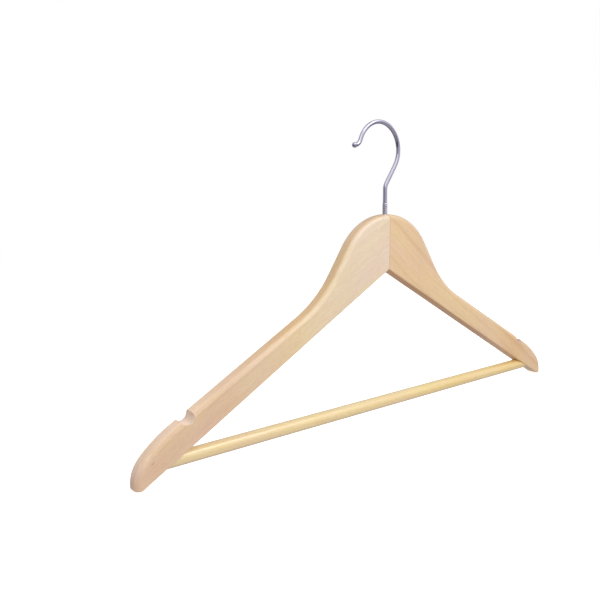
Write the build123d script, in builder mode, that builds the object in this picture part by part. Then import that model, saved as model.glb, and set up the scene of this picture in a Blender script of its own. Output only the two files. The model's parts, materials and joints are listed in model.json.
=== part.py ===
"""Flat wooden clothes hanger with a swivelling wire hook and a round trouser bar.

Frame, in millimetres: X runs along the hanger, with X = 0 at the centre joint and on the
hook's swivel axis. Y = 0 is the middle of the board, and the front face looks along -Y.
Z is up, with Z = 0 at the underside of the two shoulder ends.
"""

import os
from math import cos, radians, sin, tan

from build123d import *

# ---------------------------------------------------------------- driving dimensions
half_length = 223.7            # centre joint to the end of a shoulder
thickness = 12.0               # board thickness

# outline of one arm, right half, seen from the front
crown_height = 167.1           # top of the centre hump
crown_radius = 51.0            # convex curve of the hump
neck_slope = 56.2              # steepest slope of the outline, degrees below level
neck_radius = 90.5             # concave curve between the hump and the straight shoulder
shoulder_slope = 28.7          # straight top edge, degrees below level
shoulder_station = 150.0       # where shoulder_height is given
shoulder_height = 60.6         # height of the straight top edge at that station
nose_station = 195.0           # where the straight top edge starts to curve down
nose_radius = 93.0             # gentle convex curve towards the end
nose_slope = 45.7              # slope where the tighter curve of the tip starts
underside_slope = 29.4         # straight lower edge, degrees below level
heel_radius = 4.4              # curve from the lower edge to the level underside of the end
heel_flat = 3.3                # level length of that underside

top_round = 4.0                # rounding of the top edges and the shoulder end
under_round = 1.0              # slight rounding of the lower edges

# strap notch
notch_station = 185.4
notch_radius = 5.0

# trouser bar
bar_radius = 5.0
bar_height = 13.0              # height of the bar's axis
bar_reach = 213.0              # centre to the bar's end, inside the blind hole
bar_end_chamfer = 0.6
glue_gap = 0.05                # all round the bar and the spline
blind_end_gap = 0.5            # between the bar's end and the bottom of its hole

# spline of the centre joint, a flat loose tongue let into both arms
spline_half_width = 9.0
spline_thickness = 3.0
spline_bottom = 129.0
spline_top = 157.0
spline_corner = 1.0

# hook: one bent wire with a rolled screw thread and a formed ball tip
wire_radius = 1.65
bowl_radius = 21.3             # centreline radius of the bowl
bowl_x = -7.1
bowl_z = 216.9
slant = 34.0                   # the leg's lean from upright, degrees
shank_bend_radius = 8.0
bowl_end_angle = 160.0         # where the bowl turns into the lip, degrees from +X
lip_radius = 6.6
lip_turn = 68.0
ball_radius = 2.1
thread_crest_radius = 2.05
thread_root_radius = 1.5
thread_pitch = 1.6
thread_bottom = 138.0
thread_turns = 24
thread_point = 2.4             # length of the pointed end below the thread
swivel_clearance = 0.05        # between the thread's crests and the bore
bore_bottom = 134.0

# brads that pin the bar's ends, driven from the back face
brad_station = 208.0
brad_radius = 0.7
brad_length = 9.0
brad_head_radius = 1.0
brad_head_height = 0.7
brad_sink = 0.2
brad_point = 1.2               # length of the tapered point
brad_tip_radius = 0.12         # the point is slightly blunt
brad_gap = 0.02

# ---------------------------------------------------------------- derived geometry
bore_radius = thread_crest_radius + swivel_clearance
bar_hole_radius = bar_radius + glue_gap
thread_top = thread_bottom + thread_turns * thread_pitch


def shoulder_z(x):
    """Height of the straight top edge, extended to any x."""
    return shoulder_height - (x - shoulder_station) * tan(radians(shoulder_slope))


heel_x = half_length - heel_flat
heel_start = (
    heel_x - heel_radius * sin(radians(underside_slope)),
    heel_radius * (1 - cos(radians(underside_slope))),
)
apex_height = heel_start[1] + heel_start[0] * tan(radians(underside_slope))


def underside_z(x):
    """Height of the straight lower edge, extended to any x."""
    return apex_height - x * tan(radians(underside_slope))


def neck_length():
    """Length of the straight neck that brings the curves onto the shoulder line."""
    steep = radians(neck_slope)
    level = tan(radians(shoulder_slope))
    across = crown_radius * sin(steep) + neck_radius * (sin(steep) - sin(radians(shoulder_slope)))
    down = crown_radius * (1 - cos(steep)) + neck_radius * (cos(radians(shoulder_slope)) - cos(steep))
    gap = crown_height - down - shoulder_z(across)
    return gap / (sin(steep) - level * cos(steep))


def is_top_edge(edge):
    """True for the outline's edges above the middle of the arm, on either face."""
    middle = edge.position_at(0.5)
    if abs(middle.X) < 0.01 or abs(abs(middle.Y) - thickness / 2) > 0.01:
        return False
    x = abs(middle.X)
    return middle.Z > (shoulder_z(x) + underside_z(x)) / 2


def is_under_edge(edge):
    """True for the edges around the underside, apart from the mitre."""
    middle = edge.position_at(0.5)
    if abs(middle.X) < 0.01:
        return False
    return middle.Z < underside_z(abs(middle.X)) + 0.8


# ---------------------------------------------------------------- right arm
with BuildPart() as right_arm:
    with BuildSketch(Plane.XZ):
        with BuildLine():
            crown = JernArc((0, crown_height), (1, 0), crown_radius, -neck_slope)
            neck = Line(crown @ 1, crown @ 1 + (crown % 1) * neck_length())
            saddle = JernArc(neck @ 1, neck % 1, neck_radius, neck_slope - shoulder_slope)
            shoulder = Line(saddle @ 1, (nose_station, shoulder_z(nose_station)))
            nose = JernArc(shoulder @ 1, shoulder % 1, nose_radius, shoulder_slope - nose_slope)
            tip = TangentArc(nose @ 1, (half_length, 0), tangent=nose % 1)
            heel = Line(tip @ 1, (heel_x, 0))
            curve = RadiusArc(heel @ 1, heel_start, heel_radius)
            lower = Line(curve @ 1, (0, apex_height))
            Line(lower @ 1, crown @ 0)
        make_face()
    extrude(amount=thickness / 2, both=True)
    fillet(right_arm.edges().filter_by(is_top_edge), radius=top_round)
    fillet(right_arm.edges().filter_by(is_under_edge), radius=under_round)
    # strap notch, a half-round scallop across the top edge
    with BuildSketch(Plane.XZ):
        with Locations((notch_station, shoulder_z(notch_station))):
            Circle(notch_radius)
    extrude(amount=thickness, both=True, mode=Mode.SUBTRACT)
    # blind hole for the trouser bar
    with BuildSketch(Plane.YZ):
        with Locations((0, bar_height)):
            Circle(bar_hole_radius)
    extrude(amount=bar_reach + blind_end_gap, mode=Mode.SUBTRACT)
    # pocket for the spline
    with BuildSketch(Plane.YZ):
        with Locations((0, (spline_bottom + spline_top) / 2)):
            Rectangle(spline_thickness + 2 * glue_gap, spline_top - spline_bottom + 2 * glue_gap)
    extrude(amount=spline_half_width + glue_gap, mode=Mode.SUBTRACT)
    # half of the hook's bore
    with BuildSketch(Plane.XY.offset(bore_bottom)):
        Circle(bore_radius)
    extrude(amount=crown_height, mode=Mode.SUBTRACT)
    # pilot hole of the brad, from the back face
    with BuildSketch(Plane.XZ.offset(-thickness / 2)):
        with Locations((brad_station, bar_height)):
            Circle(brad_head_radius + brad_gap)
    extrude(amount=brad_sink + brad_head_height + brad_gap, mode=Mode.SUBTRACT)
    with BuildSketch(Plane.XZ.offset(-thickness / 2)):
        with Locations((brad_station, bar_height)):
            Circle(brad_radius + brad_gap)
    extrude(amount=thickness / 2, mode=Mode.SUBTRACT)
right_arm.part.label = "right_arm"

# ---------------------------------------------------------------- left arm
with BuildPart() as left_arm:
    add(mirror(right_arm.part, about=Plane.YZ, mode=Mode.PRIVATE))
left_arm.part.label = "left_arm"

# ---------------------------------------------------------------- centre spline
with BuildPart() as centre_spline:
    with BuildSketch(Plane.XZ):
        with Locations((0, (spline_bottom + spline_top) / 2)):
            RectangleRounded(2 * spline_half_width, spline_top - spline_bottom, spline_corner)
    extrude(amount=spline_thickness / 2, both=True)
    with BuildSketch(Plane.XY.offset(bore_bottom)):
        Circle(bore_radius)
    extrude(amount=crown_height, mode=Mode.SUBTRACT)
centre_spline.part.label = "centre_spline"

# ---------------------------------------------------------------- trouser bar
with BuildPart() as trouser_bar:
    with BuildSketch(Plane.YZ):
        with Locations((0, bar_height)):
            Circle(bar_radius)
    extrude(amount=bar_reach, both=True)
    chamfer(trouser_bar.edges().filter_by(GeomType.CIRCLE), length=bar_end_chamfer)
    for side in (-1, 1):
        with BuildSketch(Plane.XZ.offset(-thickness / 2)):
            with Locations((side * brad_station, bar_height)):
                Circle(brad_radius + brad_gap)
        extrude(amount=brad_sink + brad_length + brad_gap, mode=Mode.SUBTRACT)
trouser_bar.part.label = "trouser_bar"

# ---------------------------------------------------------------- brads
brads = {}
for name, side in (("left_brad", -1), ("right_brad", 1)):
    head_y = thickness / 2 - brad_sink
    with BuildPart() as brad:
        with BuildSketch(Plane((side * brad_station, 0, bar_height), x_dir=(1, 0, 0), z_dir=(0, 0, 1))):
            with BuildLine():
                Polyline(
                    (0, head_y),
                    (brad_head_radius, head_y),
                    (brad_head_radius, head_y - brad_head_height / 2),
                    (brad_radius, head_y - brad_head_height),
                    (brad_radius, head_y - brad_length + brad_point),
                    (brad_tip_radius, head_y - brad_length),
                    (0, head_y - brad_length),
                    close=True,
                )
            make_face()
        revolve(axis=Axis((side * brad_station, 0, bar_height), (0, 1, 0)))
    brad.part.label = name
    brads[name] = brad.part

# ---------------------------------------------------------------- hook
lean = radians(slant)
leg_top = (bowl_x + bowl_radius * cos(lean), bowl_z - bowl_radius * sin(lean))
bend_z = leg_top[1] - leg_top[0] / tan(lean)
bend_tangent = shank_bend_radius * tan(lean / 2)

with BuildPart() as hook:
    with BuildLine(Plane.XZ) as wire:
        shank = Line((0, thread_top), (0, bend_z - bend_tangent))
        bend = JernArc(shank @ 1, (0, 0, 1), shank_bend_radius, -slant)
        leg = Line(bend @ 1, leg_top)
        bowl = JernArc(leg @ 1, (sin(lean), cos(lean)), bowl_radius, slant + bowl_end_angle)
        lip = JernArc(bowl @ 1, bowl % 1, lip_radius, -lip_turn)
    with BuildSketch(Plane.XY.offset(thread_top)):
        Circle(wire_radius)
    sweep(path=wire.line)
    with Locations(lip @ 1):
        Sphere(ball_radius)
    # thread, as a stack of V-shaped rings on the shank's axis
    with BuildSketch(Plane.XZ):
        with BuildLine():
            outline = [(0, thread_bottom - thread_point), (thread_root_radius, thread_bottom)]
            for turn in range(thread_turns):
                low = thread_bottom + turn * thread_pitch
                outline.append((thread_crest_radius, low + thread_pitch / 2))
                outline.append((thread_root_radius, low + thread_pitch))
            outline.append((0, thread_top))
            Polyline(*outline, close=True)
        make_face()
    revolve(axis=Axis.Z)
hook.part.label = "hook"

# ---------------------------------------------------------------- export
os.makedirs("parts", exist_ok=True)
export_step(right_arm.part, "parts/right_arm.step")
export_step(left_arm.part, "parts/left_arm.step")
export_step(centre_spline.part, "parts/centre_spline.step")
export_step(trouser_bar.part, "parts/trouser_bar.step")
export_step(brads["left_brad"], "parts/left_brad.step")
export_step(brads["right_brad"], "parts/right_brad.step")
export_step(hook.part, "parts/hook.step")
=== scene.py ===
"""Looks of the wooden clothes hanger, in Blender 4.5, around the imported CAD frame.

Everything is in metres in the frame's own axes: X along the hanger, the front face towards -Y,
Z up, and the hook's swivel axis at X = Y = 0. The hook opens towards -X. In the wood and the
metals, places and distances on the object are in millimetres.
"""

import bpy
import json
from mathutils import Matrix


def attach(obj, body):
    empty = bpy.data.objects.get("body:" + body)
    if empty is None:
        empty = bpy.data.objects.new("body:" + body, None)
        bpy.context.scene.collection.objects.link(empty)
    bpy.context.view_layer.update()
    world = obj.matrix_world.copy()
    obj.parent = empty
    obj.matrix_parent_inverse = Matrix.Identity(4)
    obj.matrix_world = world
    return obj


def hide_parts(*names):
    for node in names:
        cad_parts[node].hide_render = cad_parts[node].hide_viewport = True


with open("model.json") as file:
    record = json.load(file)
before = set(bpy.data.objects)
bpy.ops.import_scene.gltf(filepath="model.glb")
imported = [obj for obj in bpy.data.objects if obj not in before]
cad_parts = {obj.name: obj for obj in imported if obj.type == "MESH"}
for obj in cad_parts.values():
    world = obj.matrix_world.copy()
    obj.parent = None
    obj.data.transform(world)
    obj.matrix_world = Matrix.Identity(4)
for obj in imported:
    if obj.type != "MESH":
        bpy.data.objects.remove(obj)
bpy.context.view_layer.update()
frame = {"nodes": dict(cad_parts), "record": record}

import json
from math import asin, ceil, cos, pi, radians, sin, sqrt, tan

import bmesh
import bpy
from mathutils import Matrix, Vector

MM = 0.001
RIGHT = Vector((1, 0, 0))
BACK = Vector((0, 1, 0))
UP = Vector((0, 0, 1))

# ---------------------------------------------------------------- sizes the looks need
ARM_SLOPE = radians(28.7)          # the straight shoulder, below level
NOTCH_RADIUS = 5.0                 # of the strap notch, in mm
NOTCH_HEIGHT = 41.2                # of the notch's centre, in mm

# hook, the same centre line as the CAD node
WIRE_RADIUS = 1.65 * MM
BOWL_RADIUS = 21.3 * MM
BOWL_X = -7.1 * MM
BOWL_Z = 216.9 * MM
LEG_LEAN = radians(34)
SHANK_BEND_RADIUS = 8.0 * MM
BOWL_END = radians(160)
LIP_RADIUS = 6.6 * MM
LIP_TURN = radians(68)
BALL_RADIUS = 2.1 * MM
THREAD_CREST = 2.05 * MM
THREAD_ROOT = 1.5 * MM
THREAD_PITCH = 1.6 * MM
THREAD_BOTTOM = 138.0 * MM
THREAD_TOP = 176.4 * MM
POINT_LENGTH = 2.4 * MM

# ---------------------------------------------------------------- node helpers
NOISE_LOW, NOISE_HIGH = 0.3, 0.7   # most of a noise texture's values lie between these


class Nodes:
    """A node tree, built with one call per node."""

    def __init__(self, tree):
        self.tree = tree

    def plug(self, value, socket):
        """Links value if it is another node's output, and sets it if it is a constant."""
        if isinstance(value, bpy.types.NodeSocket):
            self.tree.links.new(value, socket)
        else:
            socket.default_value = value

    def add(self, kind, *values, **sockets):
        """A new node. values go to its first inputs in order, and sockets to its inputs by name."""
        made = self.tree.nodes.new("ShaderNode" + kind)
        for socket, value in zip(made.inputs, values):
            self.plug(value, socket)
        for name, value in sockets.items():
            self.plug(value, made.inputs[name.replace("_", " ")])
        return made

    def math(self, operation, *values, clamp=False):
        made = self.add("Math", *values)
        made.operation = operation
        made.use_clamp = clamp
        return made.outputs[0]

    def times(self, a, b):
        return self.math("MULTIPLY", a, b)

    def plus(self, a, b):
        return self.math("ADD", a, b)

    def size(self, value):
        """value without its sign."""
        return self.math("ABSOLUTE", value)

    def vector(self, operation, *values):
        made = self.add("VectorMath", *values)
        made.operation = operation
        return made.outputs["Value" if operation in ("DOT_PRODUCT", "LENGTH") else "Vector"]

    def dot(self, vector, direction):
        return self.vector("DOT_PRODUCT", vector, direction)

    def length(self, vector):
        return self.vector("LENGTH", vector)

    def combine(self, x, y, z):
        return self.add("CombineXYZ", x, y, z).outputs[0]

    def stretched(self, parts, rates):
        """The three parts as one vector, each times its own rate."""
        return self.combine(*(self.times(part, rate) for part, rate in zip(parts, rates)))

    def noise(self, vector, detail, roughness=0.5, scale=1.0):
        made = self.add("TexNoise", Vector=vector, Scale=scale, Detail=detail, Roughness=roughness)
        return made.outputs["Fac"]

    def span(self, value, low, high, to_low=0.0, to_high=1.0):
        """value mapped from low..high to to_low..to_high, held at the ends."""
        return self.add("MapRange", value, low, high, to_low, to_high).outputs[0]

    def spread(self, noise, to_low=0.0, to_high=1.0):
        """A noise texture's usual values mapped to to_low..to_high."""
        return self.span(noise, NOISE_LOW, NOISE_HIGH, to_low, to_high)

    def mix(self, factor, a, b, blend="MIX"):
        made = self.tree.nodes.new("ShaderNodeMix")
        made.data_type = "RGBA"
        made.blend_type = blend
        self.plug(factor, made.inputs["Factor"])
        self.plug(a, made.inputs[6])      # by number, because the number inputs are also called A and B
        self.plug(b, made.inputs[7])
        return made.outputs[2]

    def tinted(self, colour, tint, factor=1.0):
        """colour times tint, as far as factor says."""
        return self.mix(factor, colour, tint, "MULTIPLY")

    def bump(self, height, distance, strength):
        made = self.add("Bump", Height=height, Distance=distance, Strength=strength)
        return made.outputs["Normal"]


class Material(Nodes):
    """A new material and the tree behind its Principled shader."""

    def __init__(self, name):
        self.material = bpy.data.materials.new(name)
        self.material.use_nodes = True
        super().__init__(self.material.node_tree)
        self.shader = self.tree.nodes["Principled BSDF"]

    def set(self, **sockets):
        for name, value in sockets.items():
            self.plug(value, self.shader.inputs[name.replace("_", " ")])

    def coordinates(self):
        """The place on the object, in millimetres, and the surface's normal, both in the frame's axes."""
        coords = self.add("TexCoord")
        point = self.vector("SCALE", coords.outputs["Object"])
        point.node.inputs["Scale"].default_value = 1 / MM
        return point, coords.outputs["Normal"]


def linear(r, g, b):
    """A display colour, 0 to 255, as a scene-linear colour."""
    channels = []
    for value in (r, g, b):
        v = value / 255
        channels.append(v / 12.92 if v <= 0.04045 else ((v + 0.055) / 1.055) ** 2.4)
    return (*channels, 1.0)


# ---------------------------------------------------------------- wood
# how fast each pattern changes per mm: along the fibres, across them and into the board
FIBRE_RATES = (0.035, 2.2, 2.2)
STREAK_RATES = (0.006, 0.26, 0.2)
PORE_RATES = (0.5, 4.5, 4.5)
FLECK_RATES = (0.3, 1.4, 1.4)
PEEL_RATES = (0.12, 0.3, 1.0)
# the same for the ones that are alike all through the board: along the fibres and across them
SWAY_RATES = (0.009, 0.02)
RIPPLE_RATES = (0.05, 0.12)
HUE_RATES = (0.02, 0.07)
# and for the ones with a single rate. A number added to a seed picks another part of the noise.
BLOTCH_RATE = 0.018
SPECK_RATE = 3.0
SPACING_RATE = 0.09

# the noise values between which a pattern comes in
FIBRE_EDGE = (0.35, 0.72)
PORE_EDGE = (0.66, 0.78)
FLECK_EDGE = (0.42, 0.7)
SPECK_EDGE = (0.4, 0.7)
HUE_EDGE = (0.35, 0.65)

SWAY_REACH = 3.5                   # how far the fibres sway to either side, in mm
RIPPLE_REACH = 0.7
RING_DRIFT = 3.0                   # how many rings the uneven spacing moves the figure by
LATE_START, LATE_END = 0.5, 0.93   # where in a ring the late wood starts, and where it is darkest
LATE_CURVE = 1.6
RING_VARIETY = 3.7                 # how much the strength changes from one ring to the next
FAINTEST_RING = 0.15

# how strongly each pattern shows
BLOTCH_SHARE = 0.55
STREAK_SHARE = 0.55
TONE_BASE = 0.1
FIBRE_SHARE = 0.24
FLECK_SHARE = 0.3
PORE_SHARE = 0.22
PORE_COLOUR = linear(160, 112, 74)
END_GRAIN_SHARE = 0.45
END_GRAIN_EDGE = (0.62, 0.98)      # how squarely the surface cuts the fibres where end grain shows

# tints, which multiply the colour
YELLOWER = (1.0, 1.01, 0.95, 1)
PINKER = (1.0, 0.98, 1.04, 1)
HIGHLIGHT_ENDS_AT = 150                      # where the painted highlight tints of a piece's ends are reached, in mm from the middle

# surface
ROUGHNESS = (0.36, 0.5)
SPECULAR = 0.4
FIBRE_HEIGHT, PORE_HEIGHT, LATE_HEIGHT = 0.5, -0.6, -0.25
RELIEF = 0.05 * MM
RELIEF_STRENGTH = 0.5
PEEL_RELIEF = 0.08 * MM
PEEL_STRENGTH = 0.35


def waving(n, along, across, seed):
    """The distance across the fibres, in mm, where the fibres sway slowly and ripple a little."""
    sway_at = n.combine(n.times(along, SWAY_RATES[0]), seed, n.times(across, SWAY_RATES[1]))
    sway = n.spread(n.noise(sway_at, detail=2), -SWAY_REACH, SWAY_REACH)
    ripple_at = n.combine(n.times(along, RIPPLE_RATES[0]), n.times(across, RIPPLE_RATES[1]), seed + 3)
    ripple = n.spread(n.noise(ripple_at, detail=3), -RIPPLE_REACH, RIPPLE_REACH)
    return n.plus(n.plus(across, sway), ripple)


def late_wood(n, along, swayed, depth, pith, tilt, ring, seed):
    """How much dark late wood there is, from 0 to 1, in growth rings round the log's pith."""
    out = n.plus(swayed, pith[0])
    back = n.plus(n.plus(depth, pith[1]), n.times(along, tilt))
    radius = n.length(n.combine(out, back, 0.0))
    spacing = n.noise(n.combine(n.times(radius, SPACING_RATE), seed, 0.0), detail=1)
    phase = n.plus(n.math("DIVIDE", radius, ring), n.times(spacing, RING_DRIFT))
    turn = n.math("FRACT", phase)
    # the tone builds up over the ring's outer half and ends at a sharp line
    late = n.times(n.span(turn, LATE_START, LATE_END), n.span(turn, LATE_END, 1.0, 1.0, 0.0))
    late = n.math("POWER", late, LATE_CURVE)
    strength = n.noise(n.combine(n.math("FLOOR", phase), seed, 2.0), detail=0, scale=RING_VARIETY)
    return n.times(late, n.spread(strength, FAINTEST_RING, 1.0))


def wood(name, pale, deep, streak, grain, pith, tilt, ring, seed, side=0, figure=0.2,
         coat=0.7, coat_rough=0.14, coat_ior=1.5, ends=None):
    """Pale hardwood under lacquer: growth rings, fibres, pores, flecks, end grain and a drift of tone.

    pale, deep and streak are display colours. grain is the fibre direction. pith is how far the log's
    centre is from the board, (across the grain, behind the face) in mm, and tilt is how much the
    fibres run out of the face. ring is the ring spacing in mm, and figure how strongly the rings
    show. side is -1 for the left arm, 1 for the right arm and 0 for anything else. coat, coat_rough
    and coat_ior are the lacquer's. ends, where it is given, has the tints of the piece's left and
    right end, which paint a highlight: whiter towards one end and yellower towards the other.
    """
    n = Material(name)
    point, normal = n.coordinates()
    pale, deep, streak = linear(*pale), linear(*deep), linear(*streak)
    direction = Vector(grain).normalized()
    along = n.dot(point, direction)
    across = n.dot(point, Vector((-direction.z, 0, direction.x)))
    depth = n.dot(point, BACK)

    # patterns
    swayed = waving(n, along, across, seed)
    late = late_wood(n, along, swayed, depth, pith, tilt, ring, seed)
    here = (along, swayed, depth)
    fibre = n.noise(n.stretched(here, FIBRE_RATES), detail=5, roughness=0.65)
    broad = n.noise(n.stretched(here, STREAK_RATES), detail=3, roughness=0.6)
    pores = n.span(n.noise(n.stretched(here, PORE_RATES), detail=2, roughness=0.55), *PORE_EDGE)
    flecks = n.span(n.noise(n.stretched(here, FLECK_RATES), detail=3, roughness=0.6), *FLECK_EDGE)
    blotch = n.noise(point, detail=3, roughness=0.55, scale=BLOTCH_RATE)

    # tone
    tone = n.times(n.spread(blotch), BLOTCH_SHARE)
    tone = n.plus(tone, n.times(n.spread(broad), STREAK_SHARE))
    tone = n.math("SUBTRACT", tone, TONE_BASE, clamp=True)
    colour = n.mix(tone, pale, deep)
    colour = n.mix(n.times(late, figure), colour, streak)
    colour = n.mix(n.span(fibre, *FIBRE_EDGE, 0.0, FIBRE_SHARE), colour, streak)
    colour = n.mix(n.times(flecks, FLECK_SHARE), colour, streak)
    colour = n.mix(n.times(pores, PORE_SHARE), colour, PORE_COLOUR)

    # end grain, where the surface cuts the fibres
    end = n.span(n.size(n.dot(normal, direction)), *END_GRAIN_EDGE)
    speck_at = n.combine(n.times(swayed, SPECK_RATE), n.times(depth, SPECK_RATE), seed)
    end_colour = n.mix(n.span(n.noise(speck_at, detail=3, roughness=0.7), *SPECK_EDGE), deep, streak)
    colour = n.mix(n.times(end, END_GRAIN_SHARE), colour, end_colour)

    # slow drift between a yellower and a pinker tone
    hue_at = n.combine(n.times(along, HUE_RATES[0]), n.times(across, HUE_RATES[1]), seed + 11)
    hue = n.span(n.noise(hue_at, detail=3, roughness=0.6), *HUE_EDGE)
    colour = n.tinted(colour, n.mix(hue, YELLOWER, PINKER))
    # painted highlight: the end tints make the piece whiter towards one end and yellower towards the
    # other
    if ends:
        to_right = n.span(n.dot(point, RIGHT), -HIGHLIGHT_ENDS_AT, HIGHLIGHT_ENDS_AT)
        colour = n.tinted(colour, n.mix(to_right, *ends))

    rough = n.spread(fibre, *ROUGHNESS)
    if side:
        colour, rough, raw = arm_details(n, point, normal, colour, rough, side)
        coat = n.times(n.math("SUBTRACT", 1.0, raw), coat)
    n.set(Base_Color=colour, Roughness=rough, Specular_IOR_Level=SPECULAR)
    n.set(Coat_Weight=coat, Coat_Roughness=coat_rough, Coat_IOR=coat_ior)

    # the lacquer follows the fibres a little, and lies in a slow orange peel
    relief = n.plus(n.times(fibre, FIBRE_HEIGHT), n.times(pores, PORE_HEIGHT))
    relief = n.plus(relief, n.times(late, LATE_HEIGHT))
    n.set(Normal=n.bump(relief, RELIEF, RELIEF_STRENGTH))
    peel = n.noise(n.stretched((along, across, depth), PEEL_RATES), detail=2)
    n.set(Coat_Normal=n.bump(peel, PEEL_RELIEF, PEEL_STRENGTH))
    return n.material


# ---------------------------------------------------------------- what differs along each arm
# distances are in mm, and "from the seam" means along X
PAINTED_EDGE_FACING = (0.8, 0.25)          # how squarely a surface faces front or back where the painted edge shade and highlight start, and where they are full
                                   # starts, and where it is full
EDGE_SHADE_TO_HIGHLIGHT = (110, 185)           # where the painted edge shade gives way to the painted edge highlight, from the seam
# painted shade: the rounded edges darker and warmer near the seam
EDGE_SHADE_NEAR_SEAM = (1.0, 0.85, 0.66, 1)
NOTCH_BORDER = (0.05, 0.3)         # how far past the notch's wall the raw wood fades out
RAW_SHARE = 0.92
RAW_ROUGHNESS = 0.7
SAW_DIRECTION = Vector((2.2, 0.25, 1.1))
SAW_RATE = 0.2                     # how fast the saw marks change towards the notch's centre, per mm
SAW_EDGE = (0.35, 0.65)
GLUE_LINE = (0.05, 0.4)            # where the glue line starts and ends to fade, from the seam
GLUE_SHARE = 0.55
GLUE_COLOUR = linear(176, 134, 88)
FAR_CHANGE = (85, 165)             # where the left arm turns darker and pinker, partly painted shade, from the seam
FAR_TINT_AND_SHADE = (0.925, 0.81, 0.75, 1)
MARK_AT = Vector((-211.6, 16.6, 0))            # x and z of the left arm's small mark
MARK_ALONG = Vector((0.85, 0.52, 0))
MARK_ACROSS = Vector((-0.52, 0.85, 0))
MARK_RATES = (0.45, 1.5)           # how fast it fades along and across
MARK_EDGE = (0.3, 1.0)
MARK_SHARE = 0.5
MARK_COLOUR = linear(176, 112, 88)

# The edge tint of each arm is a painted highlight that brightens the rounded edges near the
# shoulder end. warm_at is the middle of a warmer stretch, from the seam, and warm_reach half its
# length. raw_pale and raw_deep are the display colours of the sawn wood in the notch, with painted shade
# in the right one's.
ARMS = {
    -1: {
        "notch": "left_strap_notch",
        "painted_edge_light": (1.26, 1.3, 1.42, 1),
        "warm_at": 95,
        "warm_reach": 50,
        "warm_tint": (1.0, 0.965, 0.84, 1),
        "raw_pale": (254, 247, 236),
        "raw_deep": (248, 236, 221),
    },
    1: {
        "notch": "right_strap_notch",
        "painted_edge_light": (1.16, 1.19, 1.26, 1),
        "warm_at": 172,
        "warm_reach": 30,
        "warm_tint": (1.0, 0.94, 0.84, 1),
        # painted shade: the right notch's sawn wood is darker than the left one's
        "raw_pale": (220, 196, 180),
        "raw_deep": (198, 170, 154),
    },
}


def notch_centre(name):
    """x and z of a strap notch, from the record's opening of that name."""
    openings = frame["record"]["physics"]["openings"]
    low, high = [opening["box_m"] for opening in openings if opening["name"] == name][0]
    return Vector(((low[0] + high[0]) / 2 / MM, NOTCH_HEIGHT, 0))


def arm_details(n, point, normal, colour, rough, side):
    """Adds an arm's painted shade and highlight on the rounded edges, warmer stretch, raw notch and glue
    line, and the left arm's small mark.

    Returns the colour, the roughness, and raw, which is 1 where the wood has no lacquer.
    """
    arm = ARMS[side]
    from_seam = n.size(n.dot(point, RIGHT))
    where = n.combine(n.dot(point, RIGHT), n.dot(point, UP), 0.0)

    # painted shade makes the rounded edges darker and warmer near the middle of the hanger, and a painted
    # highlight makes them paler near its ends
    painted_edge_light = n.mix(n.span(from_seam, *EDGE_SHADE_TO_HIGHLIGHT), EDGE_SHADE_NEAR_SEAM, arm["painted_edge_light"])
    edge = n.span(n.size(n.dot(normal, BACK)), *PAINTED_EDGE_FACING)
    colour = n.tinted(colour, painted_edge_light, edge)

    # one stretch of each board is warmer
    off_warm = n.size(n.math("SUBTRACT", from_seam, arm["warm_at"]))
    warm = n.span(off_warm, 0.0, arm["warm_reach"], 1.0, 0.0)
    colour = n.tinted(colour, arm["warm_tint"], warm)

    # sawn wood in the notch, with painted shade in the right arm's darker colours
    from_notch = n.length(n.vector("SUBTRACT", where, notch_centre(arm["notch"])))
    inner, outer = NOTCH_BORDER
    raw = n.span(from_notch, NOTCH_RADIUS + inner, NOTCH_RADIUS + outer, 1.0, 0.0)
    saw_at = n.combine(n.times(from_notch, SAW_RATE), n.dot(point, SAW_DIRECTION), 4.0)
    saw = n.span(n.noise(saw_at, detail=3), *SAW_EDGE)
    raw_colour = n.mix(saw, linear(*arm["raw_pale"]), linear(*arm["raw_deep"]))
    colour = n.mix(n.times(raw, RAW_SHARE), colour, raw_colour)
    rough = n.math("MAXIMUM", rough, n.times(raw, RAW_ROUGHNESS))

    # glue line of the mitre
    colour = n.mix(n.span(from_seam, *GLUE_LINE, GLUE_SHARE, 0.0), colour, GLUE_COLOUR)
    if side < 0:
        # the colour turns darker and pinker towards the shoulder end: partly the board's tone, partly
        # painted shade
        colour = n.tinted(colour, FAR_TINT_AND_SHADE, n.span(from_seam, *FAR_CHANGE))
        # a short reddish mark in the wood near the left end
        offset = n.vector("SUBTRACT", where, MARK_AT)
        lengthwise = n.times(n.dot(offset, MARK_ALONG), MARK_RATES[0])
        crosswise = n.times(n.dot(offset, MARK_ACROSS), MARK_RATES[1])
        off_mark = n.length(n.combine(lengthwise, crosswise, 0.0))
        colour = n.mix(n.span(off_mark, *MARK_EDGE, MARK_SHARE, 0.0), colour, MARK_COLOUR)
    return colour, rough, raw


RIGHT_GRAIN = ARM_SLOPE + 0.12     # the right arm's fibres run a little steeper than its shoulder
left_wood = wood(
    "wood_left_arm", (240, 226, 200), (232, 210, 181), (212, 176, 140),
    grain=(-cos(ARM_SLOPE), 0, -sin(ARM_SLOPE)), pith=(30, 46), tilt=0.035,
    ring=2.4, seed=1.3, side=-1, figure=0.11, coat=0.85,
)
right_wood = wood(
    "wood_right_arm", (238, 212, 167), (229, 198, 163), (206, 164, 116),
    grain=(cos(RIGHT_GRAIN), 0, -sin(RIGHT_GRAIN)), pith=(-22, 30), tilt=-0.06,
    ring=8.5, seed=7.9, side=1, figure=0.5,
)
bar_wood = wood(
    "wood_bar", (243, 224, 168), (238, 210, 142), (214, 174, 106),
    grain=RIGHT, pith=(22, 60), tilt=0.01, ring=2.6, seed=4.4, figure=0.14,
    coat=1.0, coat_rough=0.22, coat_ior=1.75,
    # painted highlight: whiter towards the left end, yellower towards the right
    ends=((0.99, 1.01, 1.17, 1), (1.0, 0.99, 0.86, 1)),
)
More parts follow.
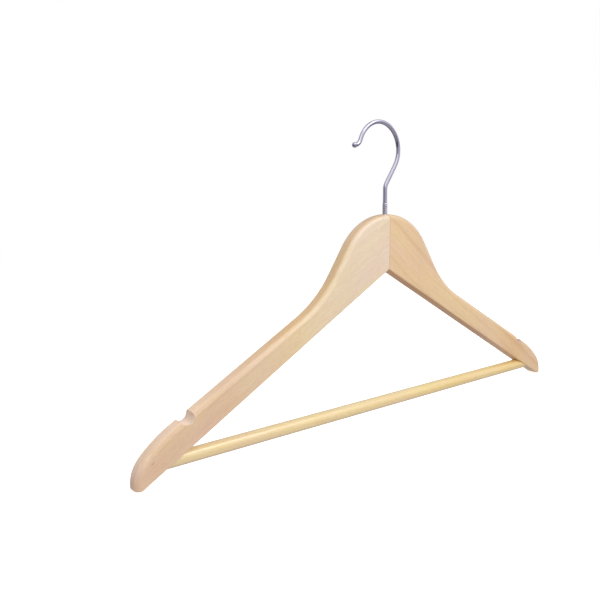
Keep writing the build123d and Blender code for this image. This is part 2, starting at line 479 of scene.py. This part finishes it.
spline_wood = wood(
    "wood_spline", (222, 196, 150), (208, 176, 128), (176, 138, 92),
    grain=RIGHT, pith=(10, 40), tilt=0.02, ring=2.2, seed=9.1, coat=0.0,
)


# ---------------------------------------------------------------- metals
# rates are per mm
HAZE_RATE = 0.16
HAZE_ROUGHNESS = (0.14, 0.2)
DRAWING_RATE = 2.6
DRAWING_ROUGHNESS = 0.05           # added where a drawing line is
DRAWING_RELIEF = 0.01 * MM
DRAWING_STRENGTH = 0.15
THREAD_BLEND = (-0.4, 0.6)         # where the dull thread turns bright, in mm from its top
THREAD_ROUGHNESS = 0.1             # added on the thread
THREAD_SHARE = 0.4
NAIL_RATE = 5.0
NAIL_EDGE = (0.35, 0.65)
NAIL_ROUGHNESS = (0.28, 0.5)
NAIL_RELIEF = 0.02 * MM
NAIL_STRENGTH = 0.6


def chrome():
    """Bright chrome plate with fine drawing lines and a little haze, duller on the thread."""
    n = Material("chrome_plate")
    point, _ = n.coordinates()
    haze = n.noise(point, detail=3, roughness=0.6, scale=HAZE_RATE)
    lines = n.noise(point, detail=4, roughness=0.7, scale=DRAWING_RATE)
    dull_end, bright_start = (THREAD_TOP / MM + offset for offset in THREAD_BLEND)
    threaded = n.span(n.dot(point, UP), dull_end, bright_start, 1.0, 0.0)
    rough = n.plus(n.spread(haze, *HAZE_ROUGHNESS), n.times(lines, DRAWING_ROUGHNESS))
    rough = n.plus(rough, n.times(threaded, THREAD_ROUGHNESS))
    colour = n.mix(n.spread(haze), linear(200, 197, 208), linear(188, 185, 198))
    colour = n.mix(n.times(threaded, THREAD_SHARE), colour, linear(164, 161, 173))
    n.set(Base_Color=colour, Metallic=1.0, Roughness=rough)
    n.set(Normal=n.bump(lines, DRAWING_RELIEF, DRAWING_STRENGTH))
    return n.material


def nail_steel():
    """Drawn steel with darker, rougher marks."""
    n = Material("nail_steel")
    point, _ = n.coordinates()
    marks = n.noise(point, detail=4, roughness=0.7, scale=NAIL_RATE)
    colour = n.mix(n.span(marks, *NAIL_EDGE), linear(176, 176, 180), linear(132, 130, 132))
    n.set(Base_Color=colour, Metallic=1.0, Roughness=n.spread(marks, *NAIL_ROUGHNESS))
    n.set(Normal=n.bump(marks, NAIL_RELIEF, NAIL_STRENGTH))
    return n.material


# ---------------------------------------------------------------- hook
AROUND = 48                        # vertices round the wire
LINE_STEP = 0.7 * MM               # between the rings of the bent wire
STEPS_PER_TURN = 14                # rings in one turn of the thread
POINT_RINGS = (0.12, 0.4, 0.7, 0.95)           # of the pointed end's length and radius
NECK_RADIUS = 0.96 * WIRE_RADIUS   # where the ball starts
NECK_LENGTH = 0.35 * MM            # from the last ring of the wire to the ball
BALL_STEPS = 22


def add_object(name, mesh):
    """Turns the mesh into an object of the scene."""
    data = bpy.data.meshes.new(name)
    mesh.to_mesh(data)
    mesh.free()
    obj = bpy.data.objects.new(name, data)
    bpy.context.scene.collection.objects.link(obj)
    return obj


def on_circle(centre, radius, angle):
    """A point on a circle in the XZ plane."""
    return centre + radius * Vector((cos(angle), 0, sin(angle)))


def straight(start, end, step):
    """Points from start towards end, without end itself."""
    count = max(1, ceil((end - start).length / step))
    return [start.lerp(end, i / count) for i in range(count)]


def arc(centre, radius, first, last, step):
    """Points on a circle in the XZ plane, from angle first to last, without the last one."""
    count = max(1, ceil(abs(last - first) * radius / step))
    return [on_circle(centre, radius, first + (last - first) * i / count) for i in range(count)]


def hook_line(step):
    """The wire's centre line from the top of the thread to the ball's centre."""
    bowl_centre = Vector((BOWL_X, 0, BOWL_Z))
    leg_top = on_circle(bowl_centre, BOWL_RADIUS, -LEG_LEAN)
    bend_z = leg_top.z - leg_top.x / tan(LEG_LEAN)
    bend_start = Vector((0, 0, bend_z - SHANK_BEND_RADIUS * tan(LEG_LEAN / 2)))
    bend_centre = bend_start + SHANK_BEND_RADIUS * RIGHT
    leg_start = on_circle(bend_centre, SHANK_BEND_RADIUS, pi - LEG_LEAN)
    lip_centre = on_circle(bowl_centre, BOWL_RADIUS + LIP_RADIUS, BOWL_END)
    lip_start = BOWL_END - pi
    lip_end = lip_start - LIP_TURN

    points = straight(Vector((0, 0, THREAD_TOP)), bend_start, step)
    points += arc(bend_centre, SHANK_BEND_RADIUS, pi, pi - LEG_LEAN, step / 2)
    points += straight(leg_start, leg_top, step)
    points += arc(bowl_centre, BOWL_RADIUS, -LEG_LEAN, BOWL_END, step)
    points += arc(lip_centre, LIP_RADIUS, lip_start, lip_end, step / 2)
    points.append(on_circle(lip_centre, LIP_RADIUS, lip_end))
    return points


def tangents_of(line):
    """The direction of the line at each of its points. At the first one it is upright."""
    tangents = [UP]
    for i in range(1, len(line)):
        before, after = line[i - 1], line[min(i + 1, len(line) - 1)]
        tangents.append((after - before).normalized())
    return tangents


def thread_radius(angle, z):
    """Radius of the rolled screw thread, a single right-hand helix that runs out at both ends."""
    turn = (z - THREAD_BOTTOM) / THREAD_PITCH - angle / (2 * pi)
    wave = abs(2 * (turn % 1) - 1)
    ridge = min(1.0, 1.25 * (1 - wave))
    end_fade = min(1.0, (THREAD_TOP - z) / THREAD_PITCH, (z - THREAD_BOTTOM) / THREAD_PITCH + 0.3)
    root = THREAD_ROOT
    if THREAD_TOP - z < THREAD_PITCH:
        root += (WIRE_RADIUS - THREAD_ROOT) * (1 - (THREAD_TOP - z) / THREAD_PITCH)
    return root + (THREAD_CREST - root) * ridge * max(0.0, end_fade)


def build_hook():
    """The whole hook as one closed skin: point, helical thread, bent wire and ball tip."""
    mesh = bmesh.new()
    loops = []
    angles = [2 * pi * k / AROUND for k in range(AROUND)]

    def add_ring(centre, tangent, radii):
        """A loop of vertices round the wire, with one radius for each of them."""
        side = Vector((tangent.z, 0, -tangent.x))
        loop = []
        for angle, radius in zip(angles, radii):
            offset = side * cos(angle) + BACK * sin(angle)
            loop.append(mesh.verts.new(centre + radius * offset))
        loops.append(loop)

    # pointed end and thread, on the upright axis
    point_z = THREAD_BOTTOM - POINT_LENGTH
    for share in POINT_RINGS:
        add_ring(Vector((0, 0, point_z + share * POINT_LENGTH)), UP, [share * THREAD_ROOT] * AROUND)
    thread_length = THREAD_TOP - THREAD_BOTTOM
    count = round(thread_length / THREAD_PITCH) * STEPS_PER_TURN
    for i in range(count):
        z = THREAD_BOTTOM + thread_length * i / count
        add_ring(Vector((0, 0, z)), UP, [thread_radius(angle, z) for angle in angles])

    # bent wire, up to a small neck before the ball
    line = hook_line(LINE_STEP)
    tangents = tangents_of(line)
    ball = line[-1]
    neck = sqrt(BALL_RADIUS**2 - NECK_RADIUS**2) + NECK_LENGTH
    for here, tangent in zip(line, tangents):
        if (here - ball).length > neck:
            add_ring(here, tangent, [WIRE_RADIUS] * AROUND)

    # formed ball
    out = tangents[-1]
    start_angle = pi - asin(NECK_RADIUS / BALL_RADIUS)
    for i in range(BALL_STEPS):
        angle = start_angle * (1 - i / BALL_STEPS)
        add_ring(ball + out * BALL_RADIUS * cos(angle), out, [BALL_RADIUS * sin(angle)] * AROUND)

    # skin over the rings, closed at both ends
    tip = mesh.verts.new((0, 0, point_z))
    top = mesh.verts.new(ball + out * BALL_RADIUS)
    neighbours = [(k, (k + 1) % AROUND) for k in range(AROUND)]
    for lower, upper in zip(loops, loops[1:]):
        for k, j in neighbours:
            mesh.faces.new((lower[k], lower[j], upper[j], upper[k]))
    for k, j in neighbours:
        mesh.faces.new((tip, loops[0][j], loops[0][k]))
        mesh.faces.new((top, loops[-1][k], loops[-1][j]))
    bmesh.ops.recalc_face_normals(mesh, faces=mesh.faces)
    for face in mesh.faces:
        face.smooth = True
    return add_object("hook_wire", mesh)


hook = build_hook()
hook.data.materials.append(chrome())
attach(hook, "hook")
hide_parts("hook")


# ---------------------------------------------------------------- CAD nodes get their materials
def dress(node, material):
    obj = frame["nodes"][node]
    if not obj.material_slots:
        obj.data.materials.append(material)
    for material_slot in obj.material_slots:
        material_slot.material = material


steel = nail_steel()
dress("left_arm", left_wood)
dress("right_arm", right_wood)
dress("trouser_bar", bar_wood)
dress("centre_spline", spline_wood)
dress("left_brad", steel)
dress("right_brad", steel)

# ---------------------------------------------------------------- floor
FLOOR_SIZE = 12.0
FLOOR_SEGMENTS = 8
FLOOR_DROP = 0.2 * MM              # below the shoulder ends
FLOOR_FADE = (0.35, 1.6)           # where shaded paper gives way to plain white, from the middle
PAPER_GLOW = (0.55, 0.55, 0.55, 1)
CLOUD_RATE = 3.0                   # how fast the paper's tone changes, per metre


def build_floor():
    """A wide pale floor that the shoulder ends stand on. It lights nothing and casts no shadow."""
    mesh = bmesh.new()
    bmesh.ops.create_grid(
        mesh, x_segments=FLOOR_SEGMENTS, y_segments=FLOOR_SEGMENTS, size=FLOOR_SIZE / 2
    )
    floor = add_object("floor", mesh)
    floor.location.z = -FLOOR_DROP
    n = Material("floor_paper")
    place = n.add("TexCoord").outputs["Object"]
    cloud = n.noise(place, detail=3, scale=CLOUD_RATE)
    far = n.span(n.length(place), *FLOOR_FADE)
    paper = n.mix(cloud, linear(250, 249, 248), linear(246, 245, 245))
    n.set(Base_Color=n.mix(far, paper, (0, 0, 0, 1)), Roughness=0.9, Specular_IOR_Level=0.0)
    n.set(Emission_Color=n.mix(far, PAPER_GLOW, (1, 1, 1, 1)), Emission_Strength=1.0)
    floor.data.materials.append(n.material)
    floor.visible_diffuse = False
    floor.visible_glossy = False
    floor.visible_shadow = False


build_floor()

# ---------------------------------------------------------------- light
WHITE = (1, 1, 1)
MIDDLE = (0, 0, 0.1)               # of the hanger


def area_light(name, location, target, size, power, colour=WHITE, mirrored=True):
    """A rectangular lamp, in metres and watts. mirrored says whether glossy surfaces show it."""
    data = bpy.data.lights.new(name, "AREA")
    data.shape = "RECTANGLE"
    data.size, data.size_y = size
    data.energy = power
    data.color = colour
    obj = bpy.data.objects.new(name, data)
    obj.location = location
    aim = Vector(target) - Vector(location)
    obj.rotation_mode = "QUATERNION"
    obj.rotation_quaternion = aim.to_track_quat("-Z", "Y")
    obj.visible_glossy = mirrored
    bpy.context.scene.collection.objects.link(obj)


area_light("key", (0.15, -1.9, 0.85), MIDDLE, (1.3, 1.0), 15, (1.0, 1.0, 0.98), mirrored=False)
area_light("left", (-1.25, -1.0, 1.15), (-0.2, 0, 0.1), (0.8, 1.1), 4.1)
area_light("top", (-0.35, -0.3, 1.3), (-0.15, 0, 0.1), (0.9, 0.6), 1.8)
area_light("back", (0.3, 1.9, 0.9), MIDDLE, (1.3, 1.0), 11, mirrored=False)
area_light("right", (1.6, 0.5, 0.8), (0.1, 0, 0.1), (0.7, 0.9), 4, mirrored=False)
area_light("strip", (0.5, -1.0, 1.2), MIDDLE, (1.0, 0.28), 4.3)

# stops are (height, colour): height 0 is straight down, 0.5 level and 1 straight up
SOFT_SKY = (
    (0.0, (1.3, 1.12, 1.1)),
    (0.45, (0.85, 0.82, 0.8)),
    (0.62, (0.8, 0.8, 0.82)),
    (1.0, (0.9, 0.9, 0.9)),
)
ROOM_SKY = (
    (0.0, (0.5, 0.48, 0.55)),
    (0.24, (0.45, 0.43, 0.5)),
    (0.32, (0.13, 0.12, 0.17)),
    (0.38, (0.11, 0.1, 0.15)),
    (0.44, (0.42, 0.4, 0.47)),
    (0.5, (0.6, 0.58, 0.66)),
    (0.62, (0.6, 0.58, 0.66)),
    (0.75, (0.8, 0.78, 0.86)),
    (0.85, (1.1, 1.08, 1.16)),
    (1.0, (1.2, 1.2, 1.27)),
)
SOFT_STRENGTH = 0.55
# the room's light along ROOM_FRONT, as (from, to, light at from, light at to), where 1 is straight
# in front of the object and -1 straight behind it
ROOM_FRONT = Vector((0.5, -0.86, 0))
FRONT_LOBE = (-0.4, 0.95, 0.42, 1.4)
BACK_LOBE = (-0.3, -0.95, 0.0, 0.5)


def sky_colour(n, height, stops):
    """A colour that changes from straight down (0) to straight up (1)."""
    ramp = n.add("ValToRGB", height)
    elements = ramp.color_ramp.elements
    elements[0].position, elements[0].color = stops[0][0], (*stops[0][1], 1)
    elements[1].position, elements[1].color = stops[-1][0], (*stops[-1][1], 1)
    for position, colour in stops[1:-1]:
        elements.new(position).color = (*colour, 1)
    return ramp.outputs["Color"]


def build_world():
    """White behind the object, soft light on it, and a grey room for glossy surfaces to reflect."""
    world = bpy.data.worlds.new("studio")
    bpy.context.scene.world = world
    world.use_nodes = True
    n = Nodes(world.node_tree)
    n.tree.nodes.clear()
    direction = n.add("TexCoord").outputs["Generated"]
    height = n.span(n.add("SeparateXYZ", direction).outputs["Z"], -1.0, 1.0)
    soft = n.add("Background", sky_colour(n, height, SOFT_SKY), SOFT_STRENGTH)
    front = n.dot(direction, ROOM_FRONT)
    room_light = n.plus(n.span(front, *FRONT_LOBE), n.span(front, *BACK_LOBE))
    room = n.add("Background", sky_colour(n, height, ROOM_SKY), room_light)
    white = n.add("Background", (*WHITE, 1))
    ray = n.add("LightPath").outputs
    lit = n.add("MixShader", ray["Is Glossy Ray"], soft.outputs[0], room.outputs[0])
    shown = n.add("MixShader", ray["Is Camera Ray"], lit.outputs[0], white.outputs[0])
    n.add("OutputWorld", Surface=shown.outputs[0])


build_world()
bpy.context.scene.view_settings.view_transform = "Standard"

# ---------------------------------------------------------------- camera
CAMERA_AIM = Vector((-0.0868, 0, 0.1075))      # where the middle of the picture meets the board
CAMERA_DISTANCE = 0.5021
CAMERA_AZIMUTH = radians(-38.73)
CAMERA_ELEVATION = radians(9.30)
CAMERA_ROLL = radians(-0.37)
CAMERA_LENS = 41.29                # mm
SENSOR_WIDTH = 36                  # mm
CLIP_START = 0.01


def build_camera():
    away = Vector((
        sin(CAMERA_AZIMUTH) * cos(CAMERA_ELEVATION),
        -cos(CAMERA_AZIMUTH) * cos(CAMERA_ELEVATION),
        sin(CAMERA_ELEVATION),
    ))
    level = (-away).cross(UP).normalized()
    upright = level.cross(-away)
    rolled_right = cos(CAMERA_ROLL) * level + sin(CAMERA_ROLL) * upright
    rolled_up = cos(CAMERA_ROLL) * upright - sin(CAMERA_ROLL) * level
    data = bpy.data.cameras.new("camera")
    data.lens = CAMERA_LENS
    data.sensor_width = SENSOR_WIDTH
    data.clip_start = CLIP_START
    obj = bpy.data.objects.new("camera", data)
    turn = Matrix((rolled_right, rolled_up, away)).transposed()
    obj.matrix_world = Matrix.Translation(CAMERA_AIM + CAMERA_DISTANCE * away) @ turn.to_4x4()
    bpy.context.scene.collection.objects.link(obj)
    bpy.context.scene.camera = obj


build_camera()
